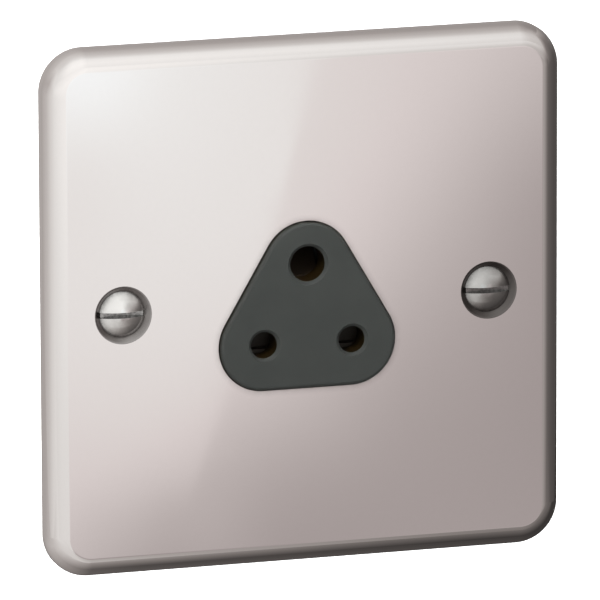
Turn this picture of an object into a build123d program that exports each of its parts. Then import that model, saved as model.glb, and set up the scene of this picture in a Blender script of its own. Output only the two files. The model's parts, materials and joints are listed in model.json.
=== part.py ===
from build123d import *
import os

# Unswitched wall socket for a small three-pin plug with round pins.
# Millimetres. X is to the right seen from the room, +Y goes into the wall, +Z is up.
# The origin lies on the wall's surface, midway between the two fixing screws.

# Front plate, pressed from sheet steel
plate_size = 85.0
plate_depth = 4.5
plate_corner = 7.0
plate_edge = 3.5
sheet = 0.9
aperture_gap = 0.08
aperture_roll = 0.1
dimple_diameter = 9.0
dimple_roll = 0.4
dimple_hole = 3.6

# Plug: pin sizes and places
line_pin_diameter = 3.56
line_pin_length = 14.9
line_pin_spacing = 14.48
earth_pin_diameter = 5.08
earth_pin_length = 18.4
pin_row_height = 12.7

# Socket front: boss, front wall, ears and shutter chamber
boss_proud = 0.8
boss_radius = 7.2
boss_apex_drop = 0.45
boss_base_drop = 0.15
boss_edge = 0.7
line_hole_diameter = 4.3
earth_hole_diameter = 5.7
hole_lead = 0.5
body_corner = 3.0
side_margin = 5.36
end_margin = 2.15
body_wall = 2.0
front_wall = 1.8
chamber_depth = 3.35
wing_reach = 36.0
wing_height = 15.0
wing_corner = 3.0
wing_setback = 0.15
ear_margin = 4.1
ear_width = 10.0
ear_corner = 2.0
rail_width = 1.6
rail_top = 3.0
post_size = 4.0
gusset_reach = 3.5
gusset_height = 3.0
gusset_width = 1.5
gusset_place = 5.5

# Earth strap
strap_thickness = 1.0
strap_boss_gap = 0.4
strap_inset = 1.0
strap_dimple_gap = 0.4

# Shutter and its spring
shutter_travel = 5.2
shutter_gap = 0.15
shutter_half_width = 11.0
blade_thickness = 1.2
runner_width = 1.0
bottom_rail = 1.2
shutter_cover = 0.6
shutter_window_gap = 0.3
ramp_width = 6.0
ramp_land = 0.5
ramp_foot = 0.5
well_gap = 0.25
spring_diameter = 2.3
spring_wire = 0.3
spring_turns = 5
spring_pip_diameter = 1.2
spring_pip_length = 1.6

# Contacts, rolled and bent from brass sheet
contact_sheet = 0.8
pin_play = 0.03
sleeve_slit = 0.8
sleeve_flare = 0.4
sleeve_end_gap = 0.4
leg_width = 5.0
foot_width = 4.0

# Terminals
terminal_width = 7.0
terminal_height = 8.0
terminal_depth = 7.7
terminal_edge = 0.4
terminal_offset = 6.9
earth_terminal_offset = 8.5
wire_hole_diameter = 3.6
wire_hole_wall = 1.3
peg_diameter = 2.0
terminal_screw_diameter = 3.0
terminal_screw_head = 5.6
terminal_screw_head_height = 1.6
terminal_screw_lift = 0.4
screw_slot_width = 0.9
screw_slot_depth = 0.9

# Socket base
base_back = 16.5
base_back_edge = 1.0
fit_gap = 0.1
screw_access_gap = 0.5
collar_wall = 1.2
collar_height = 0.5
wire_entry_diameter = 4.4
wire_entry_lead = 0.4
housing_screw_inset = 3.6
housing_head_gap = 0.5
notch_corner = 2.0
housing_screw_diameter = 2.6
housing_screw_length = 12.0
housing_screw_head = 4.8
housing_screw_head_height = 1.6
housing_boss_diameter = 5.6
cross_length = 2.8
cross_width = 0.7
cross_depth = 1.0
tip_taper = 0.5

# Fixing screws and their retainers
fixing_spacing = 60.3
fixing_screw_diameter = 3.5
fixing_screw_length = 25.0
fixing_shank_diameter = 3.1
fixing_thread_start = -0.2
fixing_head_diameter = 7.4
fixing_head_dome = 1.1
fixing_slot_width = 0.9
fixing_slot_depth = 1.3
retainer_diameter = 8.0
retainer_thickness = 0.6
retainer_play = 0.05

# Studs welded to the back of the plate, and their nuts
stud_diameter = 3.0
stud_offset = 4.4
stud_end = 0.6
nut_across_flats = 5.5
nut_thickness = 1.8

# Stations along Y that follow from the sizes above
face_y = -plate_depth
plate_back_y = face_y + sheet
strap_back_y = plate_back_y + strap_thickness
chamber_front_y = strap_back_y + front_wall
split_y = chamber_front_y + chamber_depth
boss_face_y = face_y - boss_proud
shutter_front_y = chamber_front_y + shutter_gap
blade_back_y = split_y - shutter_gap
ramp_back_y = shutter_front_y + shutter_travel + ramp_land
well_back_y = ramp_back_y + well_gap
line_sleeve_front_y = split_y + 2 * fit_gap
line_sleeve_back_y = boss_face_y + line_pin_length + sleeve_end_gap
earth_sleeve_front_y = well_back_y + 2 * fit_gap
earth_sleeve_back_y = boss_face_y + earth_pin_length + sleeve_end_gap
leg_back_y = earth_sleeve_front_y + contact_sheet
terminal_back_y = leg_back_y + terminal_depth
wire_y = leg_back_y + wire_hole_wall + wire_hole_diameter / 2
screw_head_front_y = terminal_back_y + terminal_screw_lift
housing_seat_y = chamber_front_y - front_wall / 3 + housing_screw_length
wing_back_y = -wing_setback
ring_depth = (dimple_diameter - fixing_head_diameter) / 2
fixing_rim_y = face_y + ring_depth
head_end_y = fixing_rim_y + (fixing_head_diameter - fixing_shank_diameter) / 2
retainer_front_y = head_end_y + retainer_play
retainer_back_y = retainer_front_y + retainer_thickness
blade_front_y = split_y - shutter_gap - blade_thickness

# Places in the plane of the plate
fixing_x = fixing_spacing / 2
line_x = line_pin_spacing / 2
earth_z = pin_row_height / 2
line_z = -pin_row_height / 2
line_sleeve_radius = line_pin_diameter / 2 + pin_play
earth_sleeve_radius = earth_pin_diameter / 2 + pin_play
line_terminal_x = line_x + terminal_offset
earth_terminal_z = earth_z + earth_terminal_offset
body_width = 2 * (line_terminal_x + terminal_width / 2 + side_margin)
body_height = 2 * (earth_terminal_z + terminal_height / 2 + end_margin)
stud_z = body_height / 2 + stud_offset
ear_reach = stud_z + ear_margin
housing_x = body_width / 2 - housing_screw_inset
housing_z = body_height / 2 - housing_screw_inset
chamber_floor_z = -(body_height / 2 - body_wall)
line_hole_radius = line_hole_diameter / 2
window_bottom_z = line_z - line_hole_radius - shutter_window_gap + shutter_travel
window_top_z = line_z + line_hole_radius + shutter_window_gap + shutter_travel
blade_bottom_z = line_z - line_hole_radius - shutter_cover
ramp_bottom_z = earth_z - earth_pin_diameter / 2 - fit_gap
ramp_top_z = ramp_bottom_z + shutter_travel


def slab(outline, front, back):
    """A flat outline in X and Z, given thickness from y = front to y = back."""
    return extrude(Plane.XZ.offset(-back) * outline, back - front, dir=(0, -1, 0))


def rod(x, z, diameter, front, back):
    """A round bar along Y."""
    return slab(Pos(x, z) * Circle(diameter / 2), front, back)


def upright_rod(x, y, diameter, low, high):
    """A round bar along Z."""
    return extrude(Plane.XY.offset(low) * Pos(x, y) * Circle(diameter / 2), high - low)


def block(x_low, x_high, front, back, z_low, z_high):
    """A box between two values on each axis."""
    size = (x_high - x_low, back - front, z_high - z_low)
    centre = ((x_low + x_high) / 2, (front + back) / 2, (z_low + z_high) / 2)
    return Pos(*centre) * Box(*size)


def turned(profile, x=0.0, z=0.0):
    """A turned piece: (radius, y) points revolved about the line along Y through x, z."""
    return Pos(x, 0, z) * revolve(make_face(Polyline(*profile, close=True)), Axis.Y, 360)


def boss_outline(growth=0.0):
    """The boss's rounded triangle: three corner arcs about points near the pins."""
    centres = (
        (0, earth_z - boss_apex_drop),
        (line_x, line_z - boss_base_drop),
        (-line_x, line_z - boss_base_drop),
    )
    return offset(Polygon(*centres, align=None), boss_radius + growth, kind=Kind.ARC)


def front_edges(solid):
    """The edges of a solid that lie furthest towards the room."""
    return solid.edges().group_by(Axis.Y)[0]


def front_plate():
    """Pressed pan with rolled edges, two countersunk dimples and the boss's aperture."""
    inner_size = plate_size - 2 * sheet
    pan = slab(RectangleRounded(plate_size, plate_size, plate_corner), face_y, 0)
    pan = fillet(front_edges(pan), plate_edge)
    hollow = slab(RectangleRounded(inner_size, inner_size, plate_corner - sheet), plate_back_y, 0)
    hollow = fillet(front_edges(hollow), plate_edge - sheet)
    plate = pan - hollow
    for x in (-fixing_x, fixing_x):
        plate = plate + turned(dimple_profile(behind=True), x)
        plate = plate - turned(dimple_profile(behind=False), x)
    dimple_rims = [
        edge
        for edge in front_edges(plate)
        if edge.geom_type == GeomType.CIRCLE and abs(edge.radius - dimple_diameter / 2) < 0.01
    ]
    plate = fillet(dimple_rims, dimple_roll)
    plate = plate - slab(boss_outline(aperture_gap), face_y - 1, 0)
    aperture_rim = [
        edge
        for edge in front_edges(plate)
        if abs(edge.center().X) < boss_radius + line_x and abs(edge.center().Z) < 2 * boss_radius
    ]
    return fillet(aperture_rim, aperture_roll)


def dimple_profile(behind):
    """Half section of a 90 degree countersink: the steel behind it, or the space in front."""
    depth = (dimple_diameter - dimple_hole) / 2
    lip_y = face_y + depth
    if not behind:
        over = 1.0
        return [
            (0, face_y - over),
            (dimple_diameter / 2, face_y - over),
            (dimple_diameter / 2, face_y),
            (dimple_hole / 2, lip_y),
            (dimple_hole / 2, lip_y + over),
            (0, lip_y + over),
        ]
    growth = sheet * (2**0.5 - 1)
    rear_radius = dimple_diameter / 2 + growth
    lip_radius = rear_radius - (lip_y - plate_back_y)
    return [(0, plate_back_y - sheet / 2), (rear_radius, plate_back_y - sheet / 2),
            (rear_radius, plate_back_y), (lip_radius, lip_y), (0, lip_y)]


def dimple_rear_diameter():
    """Diameter of the dimple's cone where it leaves the back of the plate."""
    return dimple_diameter + 2 * sheet * (2**0.5 - 1)


def plate_stud(side):
    """Plain-drawn stud welded to the plate, above or below the body."""
    back = chamber_front_y + nut_thickness + stud_end
    stud = rod(0, side * stud_z, stud_diameter, plate_back_y, back)
    return chamfer(stud.edges().group_by(Axis.Y)[-1], stud_diameter / 10)


def stud_nut(side):
    """Thin hexagon nut that clamps the ear to the plate."""
    hexagon = RegularPolygon(nut_across_flats / 2, 6, major_radius=False)
    back = chamber_front_y + nut_thickness
    nut = slab(Pos(0, side * stud_z) * hexagon, chamber_front_y, back)
    corner = nut_across_flats / 3**0.5
    bevel = corner - nut_across_flats / 2 + 0.05
    dressed = turned(
        [(0, chamber_front_y), (corner, chamber_front_y), (corner, back - bevel / 2),
         (corner - bevel, back), (0, back)],
        z=side * stud_z,
    )
    bore = rod(0, side * stud_z, stud_diameter + 2 * pin_play, chamber_front_y, back)
    return (nut & dressed) - bore


def ear_outline(width_change=0.0):
    """Wings to the fixing screws and ears to the studs, as one flat outline."""
    wings = RectangleRounded(2 * wing_reach - width_change, wing_height - width_change, wing_corner)
    ears = RectangleRounded(ear_width - width_change, 2 * ear_reach - width_change, ear_corner)
    return wings, ears


def earth_strap():
    """Flat plated strap between the plate and the moulding, round the boss."""
    wings, ears = ear_outline(strap_inset)
    middle = RectangleRounded(body_width - strap_inset, body_height - strap_inset, body_corner)
    outline = middle + wings + ears - boss_outline(strap_boss_gap)
    strap = slab(outline, plate_back_y, strap_back_y)
    for x in (-fixing_x, fixing_x):
        strap -= rod(x, 0, dimple_rear_diameter() + 2 * strap_dimple_gap, plate_back_y, strap_back_y)
    for side in (-1, 1):
        strap -= rod(0, side * stud_z, stud_diameter + 4 * fit_gap, plate_back_y, strap_back_y)
    return strap


def socket_front():
    """Moulding with the boss, the three pin holes, the shutter chamber, wings and ears."""
    wings, ears = ear_outline()
    boss = slab(boss_outline(), boss_face_y, strap_back_y)
    boss = fillet(front_edges(boss), boss_edge)
    body = slab(RectangleRounded(body_width, body_height, body_corner), strap_back_y, split_y)
    chamber = slab(
        RectangleRounded(body_width - 2 * body_wall, body_height - 2 * body_wall, body_corner - body_wall),
        chamber_front_y,
        split_y,
    )
    moulding = body - chamber + boss
    moulding += slab(wings, strap_back_y, wing_back_y) - chamber
    moulding += slab(ears, strap_back_y, chamber_front_y)
    for x, z in housing_places():
        moulding += rod(x, z, housing_boss_diameter, chamber_front_y, split_y)
    for side in (-1, 1):
        inner = side * (shutter_half_width + 2 * fit_gap)
        outer = inner + side * rail_width
        low, high = sorted((inner, outer))
        moulding += block(low, high, chamber_front_y, split_y, chamber_floor_z, rail_top)
        post_x = side * line_terminal_x
        half = post_size / 2
        moulding += block(post_x - half, post_x + half, chamber_front_y,
                          earth_sleeve_front_y - fit_gap, line_z - half, line_z + half)
    half = post_size / 2
    moulding += block(-half, half, chamber_front_y, earth_sleeve_front_y - fit_gap,
                      earth_terminal_z - half, earth_terminal_z + half)
    for side in (-1, 1):
        for z in (-gusset_place, gusset_place):
            moulding += gusset(side, z)
    moulding -= pin_hole(0, earth_z, earth_hole_diameter)
    moulding -= pin_hole(line_x, line_z, line_hole_diameter)
    moulding -= pin_hole(-line_x, line_z, line_hole_diameter)
    for x in (-fixing_x, fixing_x):
        moulding -= rod(x, 0, dimple_rear_diameter(), strap_back_y, retainer_back_y + retainer_play)
        moulding -= rod(x, 0, fixing_screw_diameter + 1.0, strap_back_y, 0)
    for side in (-1, 1):
        moulding -= rod(0, side * stud_z, stud_diameter + 4 * fit_gap, strap_back_y, chamber_front_y)
    for x, z in housing_places():
        tip_y = housing_seat_y - housing_screw_length
        moulding -= rod(x, z, housing_screw_diameter + 2 * pin_play, tip_y - fit_gap, split_y)
    foot_low, foot_high = foot_span()
    moulding -= block(-foot_width / 2 - 2 * fit_gap, foot_width / 2 + 2 * fit_gap, strap_back_y,
                      split_y, foot_low - 2 * fit_gap, foot_high + 2 * fit_gap)
    return moulding


def gusset(side, z):
    """Small triangular rib between the body's side wall and a wing."""
    root = body_width / 2 - body_wall / 2
    tip = body_width / 2 + gusset_reach
    seat_y = (strap_back_y + wing_back_y) / 2
    outline = Polyline(
        (side * root, seat_y), (side * tip, seat_y), (side * tip, wing_back_y),
        (side * root, wing_back_y + gusset_height), close=True,
    )
    rib = extrude(Plane.XY.offset(z - gusset_width / 2) * make_face(outline), gusset_width, dir=(0, 0, 1))
    return rib & block(-plate_size, plate_size, strap_back_y, split_y, -plate_size, plate_size)


def pin_hole(x, z, diameter):
    """Cutter for a pin's way through the boss, with its rounded mouth drawn as a cone."""
    radius = diameter / 2
    return turned(
        [(0, boss_face_y - 1), (radius + hole_lead, boss_face_y - 1), (radius + hole_lead, boss_face_y),
         (radius, boss_face_y + hole_lead), (radius, chamber_front_y), (0, chamber_front_y)],
        x, z,
    )


def housing_places():
    """The four corners where the base is screwed to the front."""
    return [(x, z) for x in (-housing_x, housing_x) for z in (-housing_z, housing_z)]


def foot_span():
    """The earth contact's foot, lowest and highest z."""
    low = earth_terminal_z + terminal_height / 2 - contact_sheet / 4
    return low, low + contact_sheet


def shutter():
    """Framed blade with two windows, and the ramp that the earth pin pushes down."""
    blade_top_z = window_top_z + shutter_cover
    inner_half = shutter_half_width - runner_width
    frame = block(-shutter_half_width, shutter_half_width, shutter_front_y, blade_back_y,
                  blade_bottom_z, blade_top_z)
    frame -= block(-inner_half, inner_half, shutter_front_y, blade_front_y,
                   blade_bottom_z + bottom_rail, blade_top_z)
    window_half = line_hole_radius + shutter_window_gap
    for x in (-line_x, line_x):
        frame -= block(x - window_half, x + window_half, blade_front_y, blade_back_y,
                       window_bottom_z, window_top_z)
    ramp_top_y = shutter_front_y + shutter_travel
    side_view = Polyline(
        (shutter_front_y, ramp_foot), (shutter_front_y, ramp_bottom_z), (ramp_top_y, ramp_top_z),
        (ramp_back_y, ramp_top_z), (ramp_back_y, ramp_foot), close=True,
    )
    ramp = extrude(Plane.YZ * make_face(side_view), ramp_width / 2, both=True)
    pip = upright_rod(0, spring_y(), spring_pip_diameter, blade_bottom_z - spring_pip_length, blade_bottom_z)
    return frame + ramp + pip


def spring_y():
    """The spring stands in the middle of the chamber."""
    return (chamber_front_y + split_y) / 2


def shutter_spring():
    """Coil from the chamber's floor to the shutter; its fine wire is drawn with six flats."""
    height = blade_bottom_z - chamber_floor_z - spring_wire - 2 * fit_gap
    coil_radius = (spring_diameter - spring_wire) / 2
    coil = Helix(height / spring_turns, height, coil_radius)
    section = Plane(origin=coil @ 0, z_dir=coil % 0) * RegularPolygon(spring_wire / 2, 6)
    wire = sweep(section, path=coil)
    return Pos(0, spring_y(), chamber_floor_z + spring_wire / 2 + fit_gap) * wire


def sleeve(x, z, inner, front, back, slit_side):
    """Rolled tube that grips a pin, flared at its mouth and slit along one side."""
    outer = inner + contact_sheet
    tube = turned(
        [(inner + sleeve_flare, front), (outer, front), (outer, back), (inner, back),
         (inner, front + sleeve_flare)],
        x, z,
    )
    half = sleeve_slit / 2
    if slit_side == "below":
        return tube - block(x - half, x + half, front, back, z - outer - 1, z - inner / 2)
    low, high = sorted((x + slit_side * inner / 2, x + slit_side * (outer + 1)))
    return tube - block(low, high, front, back, z - half, z + half)


def line_contact(side):
    """Pin sleeve and the flat leg that runs out under its terminal."""
    x = side * line_x
    tube = sleeve(x, line_z, line_sleeve_radius, line_sleeve_front_y, line_sleeve_back_y, -side)
    end = side * (line_terminal_x + terminal_width / 2)
    start = side * (line_x + line_sleeve_radius + contact_sheet / 2)
    low, high = sorted((start, end))
    leg = block(low, high, earth_sleeve_front_y, leg_back_y, line_z - leg_width / 2, line_z + leg_width / 2)
    leg -= rod(side * line_terminal_x, line_z, peg_diameter, earth_sleeve_front_y, leg_back_y)
    bore = rod(x, line_z, 2 * line_sleeve_radius, line_sleeve_front_y, line_sleeve_back_y)
    return tube + leg - bore


def earth_contact():
    """Pin sleeve, leg under the terminal, and a foot that reaches forward to the strap."""
    tube = sleeve(0, earth_z, earth_sleeve_radius, earth_sleeve_front_y, earth_sleeve_back_y, "below")
    foot_low, foot_high = foot_span()
    leg = block(-leg_width / 2, leg_width / 2, earth_sleeve_front_y, leg_back_y,
                earth_z + earth_sleeve_radius + contact_sheet / 2, foot_high)
    leg -= rod(0, earth_terminal_z, peg_diameter, earth_sleeve_front_y, leg_back_y)
    foot = block(-foot_width / 2, foot_width / 2, strap_back_y, leg_back_y, foot_low, foot_high)
    bore = turned(
        [(0, earth_sleeve_front_y), (earth_sleeve_radius + sleeve_flare, earth_sleeve_front_y),
         (earth_sleeve_radius, earth_sleeve_front_y + sleeve_flare),
         (earth_sleeve_radius, earth_sleeve_back_y), (0, earth_sleeve_back_y)],
        z=earth_z,
    )
    return tube + leg + foot - bore


def terminal(x, z):
    """Brass pillar: wire hole along Z, screw hole from behind, peg staked through the leg."""
    half_width, half_height = terminal_width / 2, terminal_height / 2
    pillar = block(x - half_width, x + half_width, leg_back_y, terminal_back_y,
                   z - half_height, z + half_height)
    pillar = chamfer(pillar.edges(), terminal_edge)
    pillar += rod(x, z, peg_diameter, earth_sleeve_front_y, leg_back_y + terminal_edge)
    pillar -= upright_rod(x, wire_y, wire_hole_diameter, z - half_height, z + half_height)
    return pillar - rod(x, z, terminal_screw_diameter + 2 * pin_play, wire_y, terminal_back_y)


def terminal_screw(x, z):
    """Slotted cheese head screw, backed off so that the wire hole is open."""
    tip_y = wire_y + wire_hole_diameter / 2 + fit_gap
    radius, head = terminal_screw_diameter / 2, terminal_screw_head / 2
    back = screw_head_front_y + terminal_screw_head_height
    screw = turned(
        [(0, tip_y), (radius - tip_taper, tip_y), (radius, tip_y + tip_taper), (radius, screw_head_front_y),
         (head, screw_head_front_y), (head, back - tip_taper / 2), (head - tip_taper / 2, back), (0, back)],
        x, z,
    )
    half = screw_slot_width / 2
    return screw - block(x - head, x + head, back - screw_slot_depth, back, z - half, z + half)


def housing_screw(x, z):
    """Pan head screw with a cross recess that holds the base to the front."""
    tip_y = housing_seat_y - housing_screw_length
    radius, head = housing_screw_diameter / 2, housing_screw_head / 2
    back = housing_seat_y + housing_screw_head_height
    screw = turned(
        [(0, tip_y), (radius - tip_taper, tip_y), (radius, tip_y + 2 * tip_taper), (radius, housing_seat_y),
         (head, housing_seat_y), (head, back - tip_taper), (head - tip_taper, back), (0, back)],
        x, z,
    )
    long, short = cross_length / 2, cross_width / 2
    screw -= block(x - long, x + long, back - cross_depth, back, z - short, z + short)
    return screw - block(x - short, x + short, back - cross_depth, back, z - long, z + long)


def socket_base():
    """Rear moulding: pockets for contacts and terminals, wire entries and screw holes."""
    base = slab(RectangleRounded(body_width, body_height, body_corner), split_y, housing_seat_y)
    base += fillet(tower().edges().group_by(Axis.Y)[-1], base_back_edge)
    for x, z in terminal_places():
        collar = terminal_screw_head + 2 * (screw_access_gap + collar_wall)
        base += rod(x, z, collar, base_back - collar_height, base_back + collar_height)
    ramp_half = ramp_width / 2 + well_gap
    base -= block(-ramp_half, ramp_half, split_y, well_back_y,
                  ramp_foot - shutter_travel - well_gap, ramp_top_z + fit_gap)
    base -= rod(0, earth_z, 2 * (earth_sleeve_radius + contact_sheet + fit_gap), well_back_y,
                earth_sleeve_back_y + fit_gap)
    gap = fit_gap
    for side in (-1, 1):
        base -= rod(side * line_x, line_z, 2 * (line_sleeve_radius + contact_sheet + gap), split_y,
                    line_sleeve_back_y + gap)
        low, high = sorted((side * line_x, side * (line_terminal_x + terminal_width / 2 + gap)))
        base -= block(low, high, split_y, leg_back_y + gap, line_z - leg_width / 2 - gap,
                      line_z + leg_width / 2 + gap)
        base -= terminal_pocket(side * line_terminal_x, line_z)
        base -= wire_entry(side * line_terminal_x, line_z, -1)
    base -= block(-leg_width / 2 - gap, leg_width / 2 + gap, split_y, leg_back_y + gap,
                  earth_z + earth_sleeve_radius, foot_span()[1] + gap)
    base -= terminal_pocket(0, earth_terminal_z)
    base -= wire_entry(0, earth_terminal_z, 1)
    for x, z in housing_places():
        base -= rod(x, z, housing_screw_diameter + 3 * gap, split_y, housing_seat_y)
    return base


def terminal_places():
    """The three terminals, line, neutral and earth."""
    return [(line_terminal_x, line_z), (-line_terminal_x, line_z), (0, earth_terminal_z)]


def tower():
    """The base's rear block, notched at its corners so that the housing screws stay in reach."""
    outline = RectangleRounded(body_width, body_height, body_corner)
    notch = housing_screw_head / 2 + housing_head_gap
    for x, z in housing_places():
        side, end = (1 if x > 0 else -1), (1 if z > 0 else -1)
        reach = housing_screw_inset + notch
        cut = RectangleRounded(2 * reach, 2 * reach, notch_corner)
        outline -= Pos(side * body_width / 2, end * body_height / 2) * cut
    return slab(outline, housing_seat_y, base_back)


def terminal_pocket(x, z):
    """Cutter for a terminal's pocket, open to the front, and the way to its screw."""
    half_width, half_height = terminal_width / 2 + fit_gap, terminal_height / 2 + fit_gap
    pocket = block(x - half_width, x + half_width, split_y, terminal_back_y + fit_gap,
                   z - half_height, z + half_height)
    access = terminal_screw_head + 2 * screw_access_gap
    return pocket + rod(x, z, access, terminal_back_y, base_back + collar_height)


def wire_entry(x, z, side):
    """Cutter for a wire's way in, above or below its terminal, with a flared mouth."""
    radius, end = wire_entry_diameter / 2, side * body_height / 2
    low, high = sorted((z + side * terminal_height / 2, end))
    way = upright_rod(x, wire_y, wire_entry_diameter, low, high)
    flush_top = (Align.CENTER, Align.CENTER, Align.MAX)
    mouth = Cone(radius, radius + wire_entry_lead, wire_entry_lead, align=flush_top)
    if side < 0:
        mouth = Rotation(180, 0, 0) * mouth
    return way + Pos(x, wire_y, end) * mouth


def fixing_screw(side):
    """Slotted raised countersunk screw, from the plate's dimple into the box behind."""
    rim, shank = fixing_head_diameter / 2, fixing_shank_diameter / 2
    thread = fixing_screw_diameter / 2
    tip_y = fixing_rim_y + fixing_screw_length
    dome_radius = (rim**2 + fixing_head_dome**2) / (2 * fixing_head_dome)
    dome_top_y = fixing_rim_y - fixing_head_dome
    centre_y = dome_top_y + dome_radius
    middle = (rim / 2, centre_y - (dome_radius**2 - (rim / 2) ** 2) ** 0.5)
    outline = [
        ThreePointArc((0, dome_top_y), middle, (rim, fixing_rim_y)),
        Polyline(
            (rim, fixing_rim_y), (shank, head_end_y), (shank, fixing_thread_start),
            (thread, fixing_thread_start), (thread, tip_y - tip_taper), (thread - tip_taper, tip_y),
            (0, tip_y), (0, dome_top_y),
        ),
    ]
    screw = revolve(make_face(Curve() + outline), Axis.Y, 360)
    half = fixing_slot_width / 2
    screw -= block(-rim, rim, dome_top_y, dome_top_y + fixing_slot_depth, -half, half)
    return Pos(side * fixing_x, 0, 0) * screw


def screw_retainer(side):
    """Washer trapped behind the dimple, which keeps the fixing screw from dropping out."""
    x = side * fixing_x
    washer = rod(x, 0, retainer_diameter, retainer_front_y, retainer_back_y)
    return washer - rod(x, 0, fixing_shank_diameter + 2 * retainer_play, retainer_front_y, retainer_back_y)


def all_pieces():
    """Every piece of the socket by its node's name."""
    pieces = {
        "front_plate": front_plate(),
        "earth_strap": earth_strap(),
        "socket_front": socket_front(),
        "socket_base": socket_base(),
        "shutter": shutter(),
        "shutter_spring": shutter_spring(),
        "line_contact": line_contact(1),
        "neutral_contact": line_contact(-1),
        "earth_contact": earth_contact(),
        "line_terminal": terminal(line_terminal_x, line_z),
        "neutral_terminal": terminal(-line_terminal_x, line_z),
        "earth_terminal": terminal(0, earth_terminal_z),
        "line_terminal_screw": terminal_screw(line_terminal_x, line_z),
        "neutral_terminal_screw": terminal_screw(-line_terminal_x, line_z),
        "earth_terminal_screw": terminal_screw(0, earth_terminal_z),
    }
    for number, (x, z) in enumerate(housing_places(), start=1):
        pieces[f"housing_screw_{number}"] = housing_screw(x, z)
    for name, side in (("left", -1), ("right", 1)):
        pieces[f"fixing_screw_{name}"] = fixing_screw(side)
        pieces[f"screw_retainer_{name}"] = screw_retainer(side)
    for name, side in (("lower", -1), ("upper", 1)):
        pieces[f"plate_stud_{name}"] = plate_stud(side)
        pieces[f"stud_nut_{name}"] = stud_nut(side)
    return pieces


os.makedirs("parts", exist_ok=True)
for node, piece in all_pieces().items():
    export_step(piece, f"parts/{node}.step")
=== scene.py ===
import bpy
import bmesh
import json
import math
from mathutils import Matrix, Vector


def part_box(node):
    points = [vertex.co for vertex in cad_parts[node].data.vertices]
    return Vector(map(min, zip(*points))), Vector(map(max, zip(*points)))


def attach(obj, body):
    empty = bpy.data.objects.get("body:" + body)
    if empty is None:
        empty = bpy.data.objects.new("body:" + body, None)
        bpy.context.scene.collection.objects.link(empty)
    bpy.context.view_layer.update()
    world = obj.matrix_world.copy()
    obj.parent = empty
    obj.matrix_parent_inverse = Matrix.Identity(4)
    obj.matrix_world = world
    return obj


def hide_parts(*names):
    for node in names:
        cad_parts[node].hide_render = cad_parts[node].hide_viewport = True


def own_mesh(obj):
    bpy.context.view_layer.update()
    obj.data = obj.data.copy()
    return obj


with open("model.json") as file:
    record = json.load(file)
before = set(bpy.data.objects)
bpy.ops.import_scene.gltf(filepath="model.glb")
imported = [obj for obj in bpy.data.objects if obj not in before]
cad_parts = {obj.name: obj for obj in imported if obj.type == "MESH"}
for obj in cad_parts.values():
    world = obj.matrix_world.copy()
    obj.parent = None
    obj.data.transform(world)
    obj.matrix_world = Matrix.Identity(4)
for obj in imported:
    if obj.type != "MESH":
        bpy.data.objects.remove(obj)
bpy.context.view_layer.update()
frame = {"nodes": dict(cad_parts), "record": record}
mm = 0.001

# planes of the frame that the finished pieces keep to
plateLow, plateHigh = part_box("front_plate")
plateFaceY = plateLow.y
plateWidth = plateHigh.x - plateLow.x
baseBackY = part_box("socket_base")[1].y
print("frame loaded:", len(frame["nodes"]), "nodes, plate", round(plateWidth / mm, 1), "mm wide")


# small helpers for objects and node trees

def addObject(name, data):
    thing = bpy.data.objects.new(name, data)
    bpy.context.scene.collection.objects.link(thing)
    return thing


def bakeMesh(holder):  # the mesh that the holder comes to, and the holder gone
    graph = bpy.context.evaluated_depsgraph_get()
    mesh = bpy.data.meshes.new_from_object(holder.evaluated_get(graph))
    bpy.data.objects.remove(holder)
    return mesh


def newMaterial(name, slotColour):
    material = bpy.data.materials.new(name)
    material.use_nodes = True
    material.diffuse_color = (*slotColour, 1)
    tree = material.node_tree
    tree.nodes.clear()
    out = tree.nodes.new("ShaderNodeOutputMaterial")
    skin = tree.nodes.new("ShaderNodeBsdfPrincipled")
    tree.links.new(skin.outputs["BSDF"], out.inputs["Surface"])
    return material, tree, skin


def addNode(tree, kind, **settings):  # a setting is an input's value, or else a property
    node = tree.nodes.new(kind)
    for key, value in settings.items():
        if key in node.inputs:
            node.inputs[key].default_value = value
        else:
            setattr(node, key, value)
    return node


def feed(tree, node, values):  # links outputs to inputs, and sets numbers and colours
    for key, value in values.items():
        if hasattr(value, "node"):
            tree.links.new(value, node.inputs[key])
        elif isinstance(value, (int, float)):
            node.inputs[key].default_value = value
        else:
            node.inputs[key].default_value = (*value, 1)[:4]
    return node


def addMath(tree, operation, first, second=0.0, third=0.0, clamp=False):
    node = addNode(tree, "ShaderNodeMath", operation=operation, use_clamp=clamp)
    return feed(tree, node, {0: first, 1: second, 2: third}).outputs[0]


mixPlaces = {"mask": 0, "first": 6, "second": 7, "result": 2}  # sockets of a colour mix


def addColourMix(tree, mask, first, second):
    node = addNode(tree, "ShaderNodeMix", data_type="RGBA")
    values = {"mask": mask, "first": first, "second": second}
    feed(tree, node, {mixPlaces[key]: value for key, value in values.items()})
    return node.outputs[mixPlaces["result"]]


def addRange(tree, value, fromLow, fromHigh, toLow=0.0, toHigh=1.0):
    node = addNode(tree, "ShaderNodeMapRange", interpolation_type="SMOOTHSTEP")
    feed(tree, node, {
        "Value": value,
        "From Min": fromLow, "From Max": fromHigh, "To Min": toLow, "To Max": toHigh,
    })
    return node.outputs["Result"]


def addNoise(tree, perMm, vector=None, **settings):
    if vector is None:
        vector = addNode(tree, "ShaderNodeTexCoord").outputs["Object"]
    noise = addNode(tree, "ShaderNodeTexNoise", **settings)
    scale = addMath(tree, "MULTIPLY", perMm, 1 / mm)
    return feed(tree, noise, {"Vector": vector, "Scale": scale}).outputs["Fac"]


def addBump(tree, height, heightMm):
    bump = addNode(tree, "ShaderNodeBump", Strength=1.0)
    distance = addMath(tree, "MULTIPLY", heightMm, mm)
    return feed(tree, bump, {"Distance": distance, "Height": height}).outputs["Normal"]


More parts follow.
